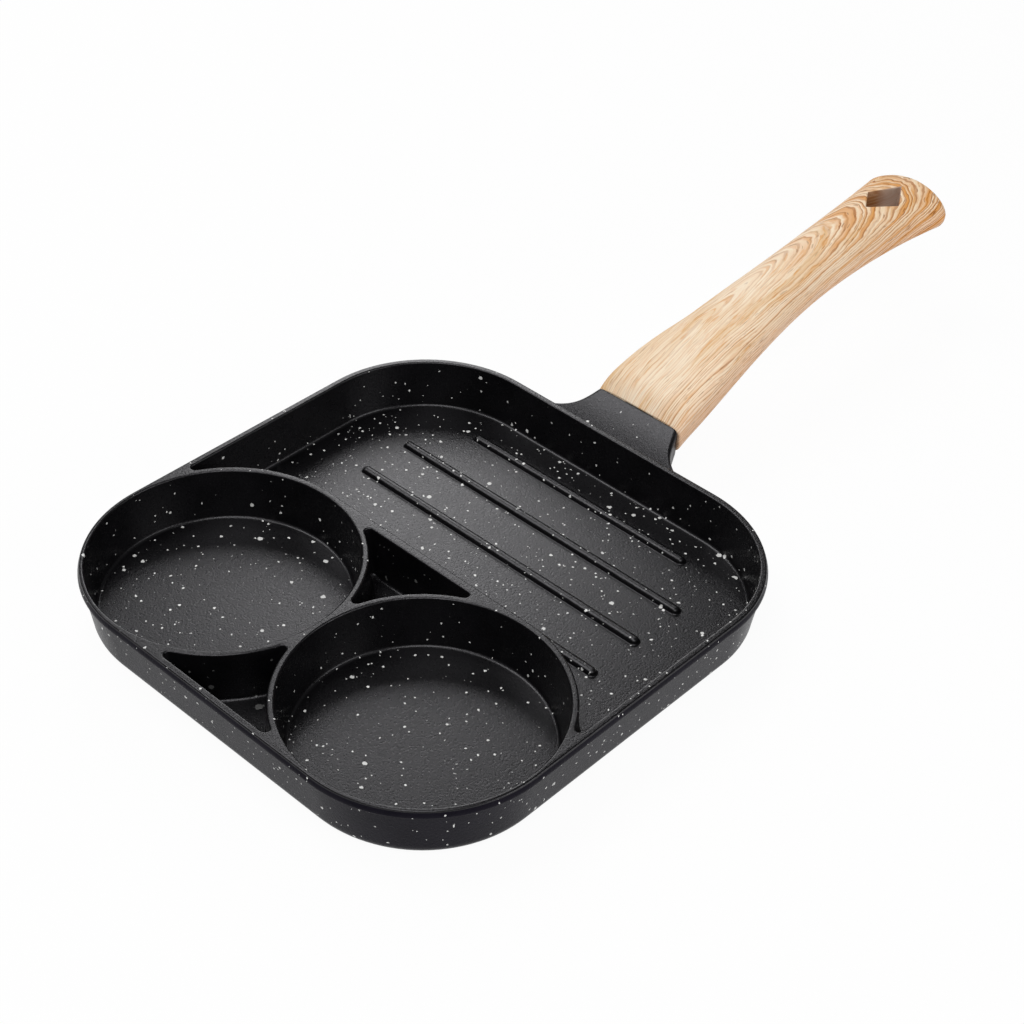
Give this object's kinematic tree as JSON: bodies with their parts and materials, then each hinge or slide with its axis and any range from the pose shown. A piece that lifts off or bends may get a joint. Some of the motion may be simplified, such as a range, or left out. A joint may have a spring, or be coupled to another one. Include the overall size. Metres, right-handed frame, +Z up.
{
  "type": "three-section frying pan",
  "caption": "Square frying pan with round egg cups, a ribbed grill bay, a straight divider and a curved wood-look handle with a hanging hole.",
  "frame": {"origin": "centre of the pan's flat base, on the surface that it stands on", "axes": "+X along the handle, from the cups towards the tail; +Y to the handle's left, across the two cups; +Z up, out of the open pan"},
  "size_m": [0.3683, 0.186, 0.0564],
  "materials": {
    "coated_casting": "die-cast aluminium under a satin black non-stick coat with pale stone-look speckles",
    "base_plate": "perforated steel plate pressed flush into the base",
    "wood_look_handle": "satin phenolic moulding with a pale ash-grain print",
    "zinc_steel": "zinc-plated steel"
  },
  "bodies": {
    "root": {"pan_casting": "coated_casting", "induction_plate": "base_plate", "handle": "wood_look_handle", "handle_screw": "zinc_steel", "screw_washer": "zinc_steel"}
  },
  "joints": []
}
